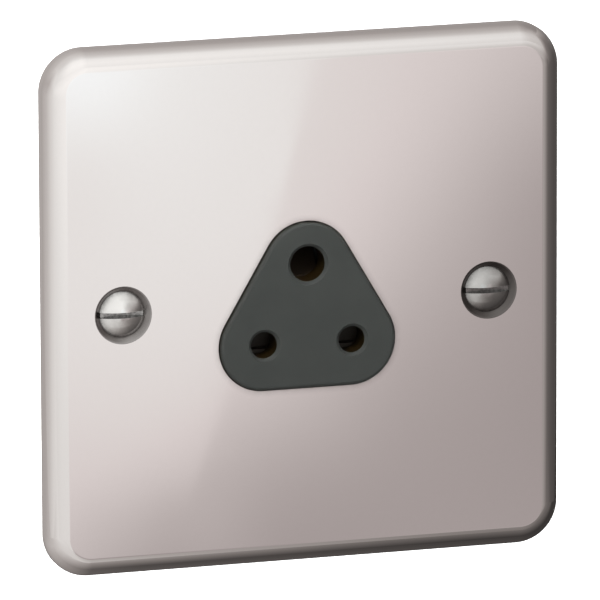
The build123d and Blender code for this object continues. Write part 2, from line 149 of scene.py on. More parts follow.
def readMark(tree, label):  # a number that the mesh carries at its face corners
    return addNode(tree, "ShaderNodeAttribute", attribute_name=label).outputs["Fac"]


def newShaderGroup(name, inputs, outputs):
    tree = bpy.data.node_groups.new(name, "ShaderNodeTree")
    for label, value in inputs.items():
        socket = tree.interface.new_socket(label, in_out="INPUT", socket_type="NodeSocketFloat")
        socket.default_value = value
    for label, kind in outputs.items():
        tree.interface.new_socket(label, in_out="OUTPUT", socket_type=kind)
    entry = tree.nodes.new("NodeGroupInput").outputs
    return tree, entry, tree.nodes.new("NodeGroupOutput")


def addGroup(tree, group, **values):
    return addNode(tree, "ShaderNodeGroup", node_tree=group, **values).outputs


# shared effects

grainNoise = {
    "grain": {"Detail": 3.0, "Roughness": 0.6},
    "blotch": {"Detail": 4.0, "Roughness": 0.55},
    "lines": {"Detail": 2.0, "Roughness": 0.5},
    "patch": {"Detail": 3.0},
}
# lighter sharp edges: rubbed wear and painted highlight
edgeLightening = {
    "agreement": (0.995, 0.86),  # of the face's and the rounded normal: none to full lightening
    "patches": (0.4, 0.62), "least": 0.35, "samples": 4,
}
# painted shade in gaps and slots, from ambient occlusion broken up by noise
gapShadeSettings = {
    "openness": (0.95, 0.55),  # none to full painted shade
    "patches": (0.3, 0.6), "least": 0.7, "samples": 6,
}


def buildGrainGroup():  # fine uneven grain, as a mask round 0.5 and a normal
    tree, entry, leave = newShaderGroup(
        "fineGrain",
        {"grainsPerMm": 8.0, "blotchesPerMm": 0.4, "heightMm": 0.01},
        {"mask": "NodeSocketFloat", "blotch": "NodeSocketFloat", "normal": "NodeSocketVector"},
    )
    grain = addNoise(tree, entry["grainsPerMm"], **grainNoise["grain"])
    blotch = addNoise(tree, entry["blotchesPerMm"], **grainNoise["blotch"])
    normal = addBump(tree, grain, entry["heightMm"])
    feed(tree, leave, {"mask": grain, "blotch": blotch, "normal": normal})
    return tree


def buildBrushGroup():  # long fine lines along X, from rolling or polishing
    tree, entry, leave = newShaderGroup(
        "drawnLines",
        {"linesPerMm": 12.0, "stretch": 40.0, "heightMm": 0.002},
        {"mask": "NodeSocketFloat", "normal": "NodeSocketVector"},
    )
    place = addNode(tree, "ShaderNodeTexCoord").outputs["Object"]
    axes = feed(tree, addNode(tree, "ShaderNodeSeparateXYZ"), {0: place}).outputs
    along = addMath(tree, "DIVIDE", axes["X"], entry["stretch"])
    squeezed = addNode(tree, "ShaderNodeCombineXYZ")
    feed(tree, squeezed, {"X": along, "Y": axes["Y"], "Z": axes["Z"]})
    lines = addNoise(tree, entry["linesPerMm"], squeezed.outputs[0], **grainNoise["lines"])
    feed(tree, leave, {"mask": lines, "normal": addBump(tree, lines, entry["heightMm"])})
    return tree


def buildEdgeGroup():  # 1 on sharp edges, 0 on open faces, broken up by noise: where edges are painted lighter, rubbed wear and painted highlight
    tree, entry, leave = newShaderGroup(
        "edgeWearAndHighlight", {"widthMm": 0.25, "patchesPerMm": 0.8}, {"mask": "NodeSocketFloat"}
    )
    soft = addNode(tree, "ShaderNodeBevel", samples=edgeLightening["samples"])
    feed(tree, soft, {"Radius": addMath(tree, "MULTIPLY", entry["widthMm"], mm)})
    facing = addNode(tree, "ShaderNodeNewGeometry")
    match = addNode(tree, "ShaderNodeVectorMath", operation="DOT_PRODUCT")
    feed(tree, match, {0: soft.outputs["Normal"], 1: facing.outputs["Normal"]})
    edge = addRange(tree, match.outputs["Value"], *edgeLightening["agreement"])
    patch = addNoise(tree, entry["patchesPerMm"], **grainNoise["patch"])
    broken = addRange(tree, patch, *edgeLightening["patches"], edgeLightening["least"])
    feed(tree, leave, {"mask": addMath(tree, "MULTIPLY", edge, broken)})
    return tree


def buildGapShadeGroup():  # 1 deep in gaps and slots, 0 in the open: where painted shade darkens the colour
    tree, entry, leave = newShaderGroup(
        "paintedGapShade", {"reachMm": 1.0, "patchesPerMm": 1.5}, {"mask": "NodeSocketFloat"}
    )
    openness = addNode(tree, "ShaderNodeAmbientOcclusion", samples=gapShadeSettings["samples"])
    feed(tree, openness, {"Distance": addMath(tree, "MULTIPLY", entry["reachMm"], mm)})
    deep = addRange(tree, openness.outputs["AO"], *gapShadeSettings["openness"])
    patch = addNoise(tree, entry["patchesPerMm"], **grainNoise["patch"])
    uneven = addRange(tree, patch, *gapShadeSettings["patches"], gapShadeSettings["least"])
    feed(tree, leave, {"mask": addMath(tree, "MULTIPLY", deep, uneven)})
    return tree


fineGrain = buildGrainGroup()
drawnLines = buildBrushGroup()
edgeWearAndHighlight = buildEdgeGroup()
paintedGapShade = buildGapShadeGroup()
print("shared effects built")


# finishes

plateFinish = {
    "colour": (0.80, 0.760, 0.748),  # polished stainless with a faint warm cast
    "deepColour": (0.74, 0.695, 0.682),
    "paintedShadeColour": (0.10, 0.080, 0.072),  # painted shade in the gaps and round the screw heads
    "dimpleShadeColour": (0.13, 0.118, 0.113),  # painted shade on the dimples, which are also rougher, out of the polishing wheel's reach
    "pressedRoughness": 0.25,
    "backColour": (0.56, 0.545, 0.53),  # the sheet as rolled, never polished behind
    "backRoughness": 0.34,
    "roughness": (0.03, 0.065),  # cleanest and most handled patches
    "blotches": (0.35, 0.65),  # of the noise, from clean to handled
    "lines": {"linesPerMm": 9.0, "stretch": 60.0, "heightMm": 0.00002},
    "lineRoughness": 0.02,
    "grain": {"grainsPerMm": 1.5, "blotchesPerMm": 0.06, "heightMm": 0.0},
    "grainShare": 0.25,
    "gapShading": {"reachMm": 1.3, "patchesPerMm": 1.0},
}


def makePlateSteel():
    material, tree, skin = newMaterial("polishedSteel", plateFinish["colour"])
    lines = addGroup(tree, drawnLines, **plateFinish["lines"])
    grain = addGroup(tree, fineGrain, **plateFinish["grain"])
    gapShade = addGroup(tree, paintedGapShade, **plateFinish["gapShading"])
    dimpleDullAndShade, behind = readMark(tree, "dimpleDullAndShade"), readMark(tree, "behind")
    rough = addRange(tree, grain["blotch"], *plateFinish["blotches"], *plateFinish["roughness"])
    for mask, key in (
        (lines["mask"], "lineRoughness"), (dimpleDullAndShade, "pressedRoughness"), (behind, "backRoughness"),
    ):
        rough = addMath(tree, "MULTIPLY_ADD", mask, plateFinish[key], rough)
    tone = addMath(tree, "MULTIPLY", grain["mask"], plateFinish["grainShare"])
    clean = addColourMix(tree, tone, plateFinish["colour"], plateFinish["deepColour"])
    # painted shade in the gaps
    gapShaded = addColourMix(tree, gapShade["mask"], clean, plateFinish["paintedShadeColour"])
    rolled = addColourMix(tree, grain["mask"], plateFinish["backColour"], plateFinish["deepColour"])
    sheet = addColourMix(tree, behind, gapShaded, rolled)
    # painted shade on the dimples
    colour = addColourMix(tree, dimpleDullAndShade, sheet, plateFinish["dimpleShadeColour"])
    feed(tree, skin, {
        "Base Color": colour, "Metallic": 1.0, "Roughness": rough, "Normal": lines["normal"],
    })
    return material


mouldingFinish = {
    "colour": (0.028, 0.031, 0.029),  # dark greenish grey thermoset
    "paleColour": (0.040, 0.043, 0.040),
    # sharp edges painted lighter: rubbed wear and painted highlight
    "edgeLightColour": (0.075, 0.078, 0.074), "edgeLightShare": 0.5,
    "paintedShadeColour": (0.010, 0.007, 0.003),  # painted shade in the corners, dark brown
    "holeShadeColour": (0.013, 0.008, 0.0025),  # painted shade inside the pin holes, dark brown
    "sheen": 0.26, "holeSheen": 0.12,
    "roughness": (0.42, 0.56),
    "grain": {"grainsPerMm": 7.0, "blotchesPerMm": 0.18, "heightMm": 0.006},
    "grainBand": (0.3, 0.7),  # of the noise, from smoothest to roughest
    "edges": {"widthMm": 0.22, "patchesPerMm": 0.7},
    "gapShading": {"reachMm": 2.5, "patchesPerMm": 0.8},
}


def makeMoulding():
    look = mouldingFinish
    material, tree, skin = newMaterial("darkMoulding", look["colour"])
    grain = addGroup(tree, fineGrain, **look["grain"])
    edge = addGroup(tree, edgeWearAndHighlight, **look["edges"])
    gapShade = addGroup(tree, paintedGapShade, **look["gapShading"])
    # painted shade, with less sheen, on the pin holes' walls
    holeShade = readMark(tree, "pinHoleShade")
    body = addColourMix(tree, grain["blotch"], look["colour"], look["paleColour"])
    # sharp edges painted lighter: rubbed wear and painted highlight
    edgeLight = addMath(tree, "MULTIPLY", edge["mask"], look["edgeLightShare"])
    edgeLit = addColourMix(tree, edgeLight, body, look["edgeLightColour"])
    # painted shade in the corners
    gapShaded = addColourMix(tree, gapShade["mask"], edgeLit, look["paintedShadeColour"])
    feed(tree, skin, {
        "Base Color": addColourMix(tree, holeShade, gapShaded, look["holeShadeColour"]),
        "Specular IOR Level": addRange(tree, holeShade, 0.0, 1.0, look["sheen"], look["holeSheen"]),
        "Roughness": addRange(tree, grain["mask"], *look["grainBand"], *look["roughness"]),
        "Normal": grain["normal"],
    })
    return material


plasticSurface = {
    "grain": {"grainsPerMm": 6.0, "blotchesPerMm": 0.3, "heightMm": 0.004},
    "grainBand": (0.3, 0.7),
}


def makePlastic(name, colour, paleColour, roughness):
    material, tree, skin = newMaterial(name, colour)
    grain = addGroup(tree, fineGrain, **plasticSurface["grain"])
    feed(tree, skin, {
        "Base Color": addColourMix(tree, grain["blotch"], colour, paleColour),
        "Roughness": addRange(tree, grain["mask"], *plasticSurface["grainBand"], *roughness),
        "Normal": grain["normal"],
    })
    return material


metalSurface = {
    "linesPerMm": 10.0, "lineRoughness": 0.08,
    "grain": {"grainsPerMm": 4.0, "blotchesPerMm": 0.35, "heightMm": 0.0},
    "blotches": (0.38, 0.64),  # of the noise, from bright to dull
    "edges": {"widthMm": 0.15, "patchesPerMm": 1.2},
    "gapShading": {"reachMm": 1.5, "patchesPerMm": 2.0},
}


def makeMetal(name, colour, dullColour, edgeLightColour, roughness,
              stretch=25.0, lineHeight=0.002, paintedShadeShare=0.35):
    look = metalSurface
    material, tree, skin = newMaterial(name, colour)
    lines = addGroup(tree, drawnLines,
                     linesPerMm=look["linesPerMm"], stretch=stretch, heightMm=lineHeight)
    grain = addGroup(tree, fineGrain, **look["grain"])
    edge = addGroup(tree, edgeWearAndHighlight, **look["edges"])
    gapShade = addGroup(tree, paintedGapShade, **look["gapShading"])
    dulled = addRange(tree, grain["blotch"], *look["blotches"])
    body = addColourMix(tree, dulled, colour, dullColour)
    # sharp edges painted lighter: rubbed wear and painted highlight
    edgeLit = addColourMix(tree, edge["mask"], body, edgeLightColour)
    # painted shade in the gaps, a share of the dull colour
    paintedShadeColour = tuple(part * paintedShadeShare for part in dullColour)
    gapShaded = addColourMix(tree, gapShade["mask"], edgeLit, paintedShadeColour)
    rough = addRange(tree, grain["blotch"], *look["blotches"], *roughness)
    feed(tree, skin, {
        # the marked screw head takes painted shade
        "Base Color": addColourMix(tree, readMark(tree, "paintedHeadShade"), gapShaded, paintedShadeColour),
        "Roughness": addMath(tree, "MULTIPLY_ADD", lines["mask"], look["lineRoughness"], rough),
        "Normal": lines["normal"],
        "Metallic": 1.0,
    })
    return material


finishes = {  # metals: colour, where dull, on edges painted lighter (rubbed wear and painted highlight), and roughness from bright to dull
    "plate_steel": makePlateSteel(),
    "dark_moulding": makeMoulding(),
    "shutter_plastic": makePlastic(
        "brownShutter", (0.016, 0.009, 0.003), (0.024, 0.014, 0.006), (0.45, 0.6)
    ),
    "retainer_nylon": makePlastic(
        "naturalNylon", (0.66, 0.64, 0.58), (0.74, 0.72, 0.67), (0.4, 0.55)
    ),
    "strap_steel": makeMetal(
        "zincStrap", (0.62, 0.62, 0.57), (0.50, 0.51, 0.47), (0.72, 0.72, 0.70), (0.28, 0.42),
        lineHeight=0.003,
    ),
    "spring_steel": makeMetal(
        "springWire", (0.55, 0.55, 0.55), (0.45, 0.45, 0.44), (0.65, 0.65, 0.65), (0.2, 0.3)
    ),
    "contact_brass": makeMetal(
        "rolledBrass", (0.72, 0.49, 0.19), (0.55, 0.37, 0.15), (0.82, 0.60, 0.28), (0.22, 0.38)
    ),
    "terminal_brass": makeMetal(
        "machinedBrass", (0.78, 0.56, 0.24), (0.60, 0.42, 0.18), (0.86, 0.66, 0.34), (0.16, 0.30),
        stretch=2.0,
    ),
    "plated_screw": makeMetal(
        "platedSteel", (0.68, 0.67, 0.63), (0.54, 0.54, 0.51), (0.78, 0.78, 0.76), (0.18, 0.34),
        stretch=3.0,
    ),
    "polished_screw": makeMetal(
        "polishedScrew", (0.74, 0.72, 0.705), (0.64, 0.62, 0.605), (0.82, 0.80, 0.79), (0.07, 0.13),
        stretch=1.0, lineHeight=0.0004, paintedShadeShare=0.2,
    ),
}
slotOfNode = {row["node"]: row["material_slot"] for row in frame["record"]["subparts"]}
bodyOfNode = {
    node: body
    for body, members in frame["record"]["behaviour"]["bodies"].items() for node in members
}
print("finishes built:", len(finishes))


# the solids' own meshes, merged and smoothed, stand for the loose triangles of the frame

smoothing = {"mergeDistance": 0.0005, "sharpAngle": 32.0, "flatAngle": 0.3}  # mm and degrees


def openShape(mesh):  # the mesh with its loose triangles joined
    shape = bmesh.new()
    shape.from_mesh(mesh)
    bmesh.ops.remove_doubles(shape, verts=shape.verts, dist=smoothing["mergeDistance"] * mm)
    return shape


def closeShape(shape, mesh):
    shape.to_mesh(mesh)
    shape.free()


def measurePatches(shape):  # area of the flat patch that each face belongs to
    flat = math.radians(smoothing["flatAngle"])
    areas = {}
    for start in shape.faces:
        if start in areas:
            continue
        patch = {start}
        front = [start]
        while front:
            face = front.pop()
            for edge in face.edges:
                for other in edge.link_faces:
                    if other not in patch and face.normal.angle(other.normal, math.pi) < flat:
                        patch.add(other)
                        front.append(other)
        total = sum(face.calc_area() for face in patch)
        for face in patch:
            areas[face] = total
    return areas


def gatherFan(vertex, left):  # takes the faces between two sharp edges out of those left
    fan = {left.pop()}
    front = list(fan)
    while front:
        for edge in front.pop().edges:
            if edge.smooth and vertex in edge.verts:
                for other in edge.link_faces:
                    if other in left:
                        left.discard(other)
                        fan.add(other)
                        front.append(other)
    return fan


def fanNormals(vertex, areas):  # one normal for each run of faces between two sharp edges
    left = set(vertex.link_faces)
    fans = []
    while left:
        fan = gatherFan(vertex, left)
        total = Vector()
        for face in fan:
            corner = next(loop for loop in face.loops if loop.vert is vertex)
            total += face.normal * areas[face] * corner.calc_angle()
        fans.append((fan, total.normalized()))
    return fans


def smoothMesh(mesh):
    shape = openShape(mesh)
    bmesh.ops.dissolve_degenerate(
        shape, edges=shape.edges, dist=smoothing["mergeDistance"] * mm
    )
    bmesh.ops.triangulate(shape, faces=[face for face in shape.faces if len(face.verts) > 3])
    sharp = math.radians(smoothing["sharpAngle"])
    for edge in shape.edges:
        edge.smooth = not (len(edge.link_faces) == 2 and edge.calc_face_angle(0.0) > sharp)
    for face in shape.faces:
        face.smooth = True
    shape.faces.ensure_lookup_table()
    shape.faces.index_update()
    areas = measurePatches(shape)
    normals = {}
    for vertex in shape.verts:
        for fan, normal in fanNormals(vertex, areas):
            for face in fan:
                normals[(face.index, vertex.index)] = normal
    closeShape(shape, mesh)
    wanted = []
    for face in mesh.polygons:
        wanted += [normals[(face.index, vertex)] for vertex in face.vertices]
    mesh.normals_split_custom_set(wanted)


def refineNode(node):
    mesh = frame["nodes"][node].data.copy()
    mesh.name = node + "_finished"
    smoothMesh(mesh)
    mesh.materials.clear()
    mesh.materials.append(finishes[slotOfNode[node]])
    dress(addObject(node + "_finished", mesh), node)


def dress(piece, node):
    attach(piece, bodyOfNode[node])
    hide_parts(node)


for nodeName in sorted(frame["nodes"]):
    refineNode(nodeName)
print("nodes refined")


# the spring gets a mesh of its own

def pressSpring():
    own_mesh(bpy.data.objects["shutter_spring_finished"])


pressSpring()
print("spring set")


# the plate again: finer corners for the mirror finish, and its dull dimples with painted shade

plateShape = {
    "corner": 7.0, "edge": 3.5, "sheet": 0.9,  # mm, as pressed
    "cornerCuts": 3,
    "dimpleRadius": 4.95,  # mm, how far the dimples' painted shade and roughness reach
    "dulled": {"fixing_screw_left": 0.75, "fixing_screw_right": 1.0},  # painted shade and roughness on each dimple, the right one darkest
    "tolerance": 0.03, "margin": 0.01,  # mm
    "flat": 0.9999, "backward": 0.02,  # of a normal, along Y
}


def nearestOnCore(spot):  # nearest point of the line that the rolled edge turns about
    half = plateWidth / 2 - plateShape["edge"] * mm
    bend = (plateShape["corner"] - plateShape["edge"]) * mm
    inner = half - bend
    x, z = abs(spot.x), abs(spot.z)
    away = Vector((x - inner, 0, z - inner)).normalized() * bend
    core = Vector((inner, 0, inner)) + away
    turnY = max(plateLow.y + plateShape["edge"] * mm, spot.y)
    return Vector((math.copysign(core.x, spot.x), turnY, math.copysign(core.z, spot.z)))


def inCorner(spot):
    inner = plateWidth / 2 - (plateShape["corner"] + plateShape["margin"]) * mm
    return abs(spot.x) > inner and abs(spot.z) > inner


def findRounds(shape, radii):  # vertices on a corner's rolled edge, with their radius
    rounds = {}
    for vertex in shape.verts:
        if inCorner(vertex.co):
            reach = (vertex.co - nearestOnCore(vertex.co)).length
            for radius in radii:
                if abs(reach - radius) < plateShape["tolerance"] * mm:
                    rounds[vertex] = radius
    return rounds


def refinePlate():
    shape = openShape(frame["nodes"]["front_plate"].data)
    outer = plateShape["edge"] * mm
    inside = outer - plateShape["sheet"] * mm
    rounds = findRounds(shape, (outer, inside))
    edges = [edge for edge in shape.edges
             if all(vertex in rounds for vertex in edge.verts)
             and rounds[edge.verts[0]] == rounds[edge.verts[1]]
             and inCorner((edge.verts[0].co + edge.verts[1].co) / 2)
             and not all(abs(face.normal.y) > plateShape["flat"] for face in edge.link_faces)]
    made = bmesh.ops.subdivide_edges(
        shape, edges=edges, cuts=plateShape["cornerCuts"], use_grid_fill=True
    )
    for vertex in {item for item in made["geom_inner"] if isinstance(item, bmesh.types.BMVert)}:
        core = nearestOnCore(vertex.co)
        away = vertex.co - core
        radius = outer if away.length > (outer + inside) / 2 else inside
        vertex.co = core + away.normalized() * radius
    mesh = bpy.data.objects["front_plate_finished"].data
    closeShape(shape, mesh)
    smoothMesh(mesh)
    markDimples(mesh)
    markFaces(mesh, "behind", neverPolished)


def markFaces(mesh, label, chosen, share=1.0):
    mark = mesh.attributes.get(label) or mesh.attributes.new(label, "FLOAT", "CORNER")
    for face in mesh.polygons:
        if chosen(face):
            for loop in face.loop_indices:
                mark.data[loop].value = share


def nearAxis(face, axis, reach):  # round an axis along Y
    return math.hypot(face.center.x - axis.x, face.center.z - axis.z) < reach


# the dimples round the screws take painted shade and roughness
def markDimples(mesh):
    for node, share in plateShape["dulled"].items():
        low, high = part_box(node)
        axis = (low + high) / 2
        markFaces(
            mesh, "dimpleDullAndShade",
            lambda face: nearAxis(face, axis, plateShape["dimpleRadius"] * mm)
            and face.normal.y > -plateShape["flat"],
            share,
        )


def neverPolished(face):  # the side that the wheel never reached
    inward = face.normal.x * face.center.x + face.normal.z * face.center.z < 0
    deep = face.center.y > plateFaceY + plateShape["sheet"] / 2 * mm
    rim = plateWidth / 2 - plateShape["corner"] * mm
    nearRim = max(abs(face.center.x), abs(face.center.z)) > rim
    return face.normal.y > plateShape["backward"] or (inward and deep and nearRim)


refinePlate()
print("plate refined")


# painted shade, dark brown, on the walls of the front moulding's pin holes

pinHoleWalls = {"beyond": 0.1, "upright": 0.1}  # mm past the bore, and the normal along Y


def markPinHoleShade():
    mesh = bpy.data.objects["socket_front_finished"].data
    for mount in frame["record"]["mounts"]:
        if mount["name"].endswith("pin_hole"):
            axis = Vector(mount["pos_m"])
            reach = (mount["dims"]["r_mm"] + pinHoleWalls["beyond"]) * mm
            markFaces(
                mesh, "pinHoleShade",
                lambda face: nearAxis(face, axis, reach)
                and abs(face.normal.y) < pinHoleWalls["upright"],
            )


markPinHoleShade()
print("pin holes marked")


# threads of the fixing screws, wound by a node tree

threadShape = {
    "outer": 1.75, "core": 1.46, "pitch": 0.6,  # mm, metric coarse
    "segments": 30,  # points to a turn
    "flank": 0.46,  # half the ridge's width, of the pitch
    "runIn": (0.0, 0.02, 0.15, 1.0),  # along the thread, and how full it is there
    "runOut": (0.97, 1.0, 1.0, 0.1),
    "tip": 0.5,  # mm, bevelled end
    "plainEnd": -0.2, "sunk": 0.2, "margin": 0.01,  # mm
    "sides": 48,
    # painted shade on the screws' heads, only on the right one
    "headShadeShares": {"fixing_screw_left": 0.0, "fixing_screw_right": 0.4},
}


def buildThreadTree():
    tree = bpy.data.node_groups.new("windThread", "GeometryNodeTree")
    for flow in ("OUTPUT", "INPUT"):
        tree.interface.new_socket("Geometry", in_out=flow, socket_type="NodeSocketGeometry")
    for label in ("radius", "pitch", "length", "ridge"):
        tree.interface.new_socket(label, in_out="INPUT", socket_type="NodeSocketFloat")
    tree.interface.new_socket("material", in_out="INPUT", socket_type="NodeSocketMaterial")
    entry = tree.nodes.new("NodeGroupInput").outputs
    leave = tree.nodes.new("NodeGroupOutput")
    coil = addNode(tree, "GeometryNodeCurveSpiral", Resolution=threadShape["segments"])
    feed(tree, coil, {
        "Rotations": addMath(tree, "DIVIDE", entry["length"], entry["pitch"]),
        "Start Radius": entry["radius"], "End Radius": entry["radius"],
        "Height": entry["length"],
    })
    upright = addNode(tree, "GeometryNodeSetCurveNormal", mode="Z_UP")
    feed(tree, upright, {"Curve": coil.outputs[0]})
    along = addNode(tree, "GeometryNodeSplineParameter").outputs["Factor"]
    risen = addRange(tree, along, *threadShape["runIn"])
    fallen = addRange(tree, along, *threadShape["runOut"])
    fade = feed(tree, addNode(tree, "GeometryNodeSetCurveRadius"), {
        "Curve": upright.outputs[0], "Radius": addMath(tree, "MULTIPLY", risen, fallen),
    })
    half = addMath(tree, "MULTIPLY", entry["pitch"], threadShape["flank"])
    profile = addNode(tree, "GeometryNodeCurvePrimitiveQuadrilateral", mode="KITE")
    feed(tree, profile, {
        "Width": addMath(tree, "MULTIPLY", entry["ridge"], 2.0),
        "Bottom Height": half, "Top Height": half,
    })
    sweep = feed(tree, addNode(tree, "GeometryNodeCurveToMesh"), {
        "Curve": fade.outputs[0], "Profile Curve": profile.outputs[0], "Fill Caps": True,
    })
    real = feed(tree, addNode(tree, "GeometryNodeRealizeInstances"), {0: sweep.outputs[0]})
    paint = feed(tree, addNode(tree, "GeometryNodeSetMaterial"), {
        "Geometry": real.outputs[0], "Material": entry["material"],
    })
    feed(tree, leave, {0: paint.outputs[0]})
    return tree


def windThread(length, material):  # a closed ridge along Z from 0
    tree = buildThreadTree()
    holder = addObject("threadHolder", bpy.data.meshes.new("threadHolder"))
    winding = holder.modifiers.new("winding", "NODES")
    winding.node_group = tree
    values = {
        "radius": threadShape["core"] * mm, "pitch": threadShape["pitch"] * mm,
        "ridge": (threadShape["outer"] - threadShape["core"]) * mm,
        "length": length, "material": material,
    }
    for item in tree.interface.items_tree:
        if item.name in values:
            winding[item.identifier] = values[item.name]
    return bakeMesh(holder)


def addTurned(shape, profile, centre):  # closed solid of revolution along Y
    sides = threadShape["sides"]
    rings = []
    for radius, y in profile:
        ring = []
        for step in range(sides):
            angle = 2 * math.pi * step / sides
            x, z = radius * math.cos(angle), radius * math.sin(angle)
            ring.append(shape.verts.new((centre.x + x, y, centre.z + z)))
        rings.append(ring)
    for near, far in zip(rings, rings[1:]):
        for step in range(sides):
            after = (step + 1) % sides
            shape.faces.new((near[step], far[step], far[after], near[after]))
    shape.faces.new(rings[0])
    shape.faces.new(reversed(rings[-1]))


def threadScrew(node):
    mesh = bpy.data.objects[node + "_finished"].data
    low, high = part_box(node)
    centre = (low + high) / 2
    plainEnd = threadShape["plainEnd"] * mm
    core, tip = threadShape["core"] * mm, threadShape["tip"] * mm
    shape = openShape(frame["nodes"][node].data)
    tail = [vertex for vertex in shape.verts
            if vertex.co.y > plainEnd + threadShape["margin"] * mm]
    bmesh.ops.delete(shape, geom=tail, context="VERTS")
    bmesh.ops.holes_fill(shape, edges=[edge for edge in shape.edges if edge.is_boundary])
    start = plainEnd - threadShape["sunk"] * mm
    addTurned(shape, [(core, start), (core, high.y - tip), (core - tip, high.y)], centre)
    bmesh.ops.recalc_face_normals(shape, faces=shape.faces)
    thread = windThread(high.y - tip - plainEnd, finishes[slotOfNode[node]])
    turn = Matrix.Rotation(-math.pi / 2, 4, "X")
    thread.transform(Matrix.Translation((centre.x, plainEnd, centre.z)) @ turn)
    shape.from_mesh(thread)
    closeShape(shape, mesh)
    bpy.data.meshes.remove(thread)
    smoothMesh(mesh)
    # painted shade on the screw's faces in front of the wall
    markFaces(mesh, "paintedHeadShade", lambda face: face.center.y < 0, threadShape["headShadeShares"][node])


for nodeName in threadShape["headShadeShares"]:
    threadScrew(nodeName)
print("threads wound")


# letters moulded beside the cable terminals, on the back

letterShape = {
    "height": 2.6, "capitals": 0.73,  # mm, and the share of the type size that capitals have
    "raised": 0.22, "sunk": 0.1, "bevel": 0.04,  # mm
    "collars": 0.5,  # mm, how far the terminals' collars stand out of the back
    "places": {"L": ("line_terminal", 0, 7.0), "N": ("neutral_terminal", 0, 7.0),
               "E": ("earth_terminal", 7.0, 0)},  # mm aside and up from the terminal's middle
}


def makeLetter(letter, node, aside, upward):
    raised, sunk = letterShape["raised"], letterShape["sunk"]
    data = bpy.data.curves.new("letter" + letter, "FONT")
    data.body = letter
    data.size = letterShape["height"] * mm / letterShape["capitals"]
    data.extrude = (raised + sunk) / 2 * mm
    data.bevel_depth = letterShape["bevel"] * mm
    data.align_x = "CENTER"
    data.align_y = "CENTER"
    mesh = bakeMesh(addObject("letter" + letter, data))
    low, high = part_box(node)
    middle = (low + high) / 2
    backY = baseBackY + ((raised - sunk) / 2 - letterShape["collars"]) * mm
    spot = Vector((middle.x + aside * mm, backY, middle.z + upward * mm))
    turn = Matrix(((-1, 0, 0), (0, 0, 1), (0, 1, 0))).to_4x4()  # reads right from behind
    mesh.transform(Matrix.Translation(spot) @ turn)
    mesh.materials.clear()
    mesh.materials.append(finishes["dark_moulding"])
    piece = addObject("letter" + letter, mesh)
    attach(piece, "socket")


for letter, place in letterShape["places"].items():
    makeLetter(letter, *place)
print("letters moulded")


# camera, at the photograph's place

view = {
    "yaw": 16.664, "pitch": 12.668, "roll": -0.216,  # degrees: from the left, from above, tilt
    "distance": 1571.0,  # mm
    "aim": (0.181, 0.0, -0.547),  # mm, seen at the middle of the picture
    "pixelsPerMm": 6.3106, "pictureWidth": 600,
    "sensor": 36.0,  # mm
    "farthest": 50,  # metres
}


def makeCamera():
    yaw, pitch, roll = (math.radians(view[key]) for key in ("yaw", "pitch", "roll"))
    ahead = Vector((
        math.sin(yaw) * math.cos(pitch), math.cos(yaw) * math.cos(pitch), -math.sin(pitch)
    ))
    level = Vector((math.cos(yaw), -math.sin(yaw), 0))
    upward = level.cross(ahead)
    right = math.cos(roll) * level + math.sin(roll) * upward
    top = math.cos(roll) * upward - math.sin(roll) * level
    data = bpy.data.cameras.new("camera")
    data.sensor_width = view["sensor"]
    data.lens = view["sensor"] * view["pixelsPerMm"] * view["distance"] / view["pictureWidth"]
    data.clip_end = view["farthest"]
    camera = addObject("camera", data)
    turn = Matrix((right, top, -ahead)).transposed().to_4x4()
    spot = (Vector(view["aim"]) - ahead * view["distance"]) * mm
    camera.matrix_world = Matrix.Translation(spot) @ turn
    bpy.context.scene.camera = camera
    return ahead


lookDirection = makeCamera()
print("camera placed")


# floor, world, cards and lamps

stageSet = {
    "floorDrop": 100.0,  # mm below the plate
    "floorSize": 8.0,  # metres
    "floorColour": (0.86, 0.86, 0.86), "floorRoughness": 0.9,
    "floorGlow": 0.70,  # seen by the camera alone, over the light that falls on it
    "diffuseSky": 0.40,  # what lights the dull surfaces
    "mirroredSky": 0.26,  # what the metals see between the cards
}


def makeFloor():
    level = plateLow.z - stageSet["floorDrop"] * mm
    half = stageSet["floorSize"] / 2
    corners = [(-half, -half), (half, -half), (half, half), (-half, half)]
    mesh = bpy.data.meshes.new("floor")
    mesh.from_pydata([(x, y, level) for x, y in corners], [], [(0, 1, 2, 3)])
    floor = addObject("floor", mesh)
    material, tree, skin = newMaterial("paleFloor", stageSet["floorColour"])
    path = addNode(tree, "ShaderNodeLightPath")
    glow = addMath(tree, "MULTIPLY", path.outputs["Is Camera Ray"], stageSet["floorGlow"])
    feed(tree, skin, {
        "Base Color": stageSet["floorColour"], "Roughness": stageSet["floorRoughness"],
        "Emission Color": (1, 1, 1), "Emission Strength": glow,
    })
    mesh.materials.append(material)


def makeWorld():
    world = bpy.data.worlds.new("studio")
    bpy.context.scene.world = world
    world.use_nodes = True
    tree = world.node_tree
    tree.nodes.clear()
    out = tree.nodes.new("ShaderNodeOutputWorld")
    path = addNode(tree, "ShaderNodeLightPath").outputs
    direct = addMath(tree, "ADD", path["Is Camera Ray"], path["Is Transmission Ray"], clamp=True)
    diffuse, mirrored = stageSet["diffuseSky"], stageSet["mirroredSky"]
    dimmed = addMath(tree, "MULTIPLY_ADD", path["Is Glossy Ray"], mirrored - diffuse, diffuse)
    strength = addNode(tree, "ShaderNodeMix", data_type="FLOAT")
    feed(tree, strength, {0: direct, 2: dimmed, 3: 1.0})
    sky = feed(tree, addNode(tree, "ShaderNodeBackground"), {
        "Color": (1, 1, 1), "Strength": strength.outputs[0],
    })
    feed(tree, out, {"Surface": sky.outputs[0]})


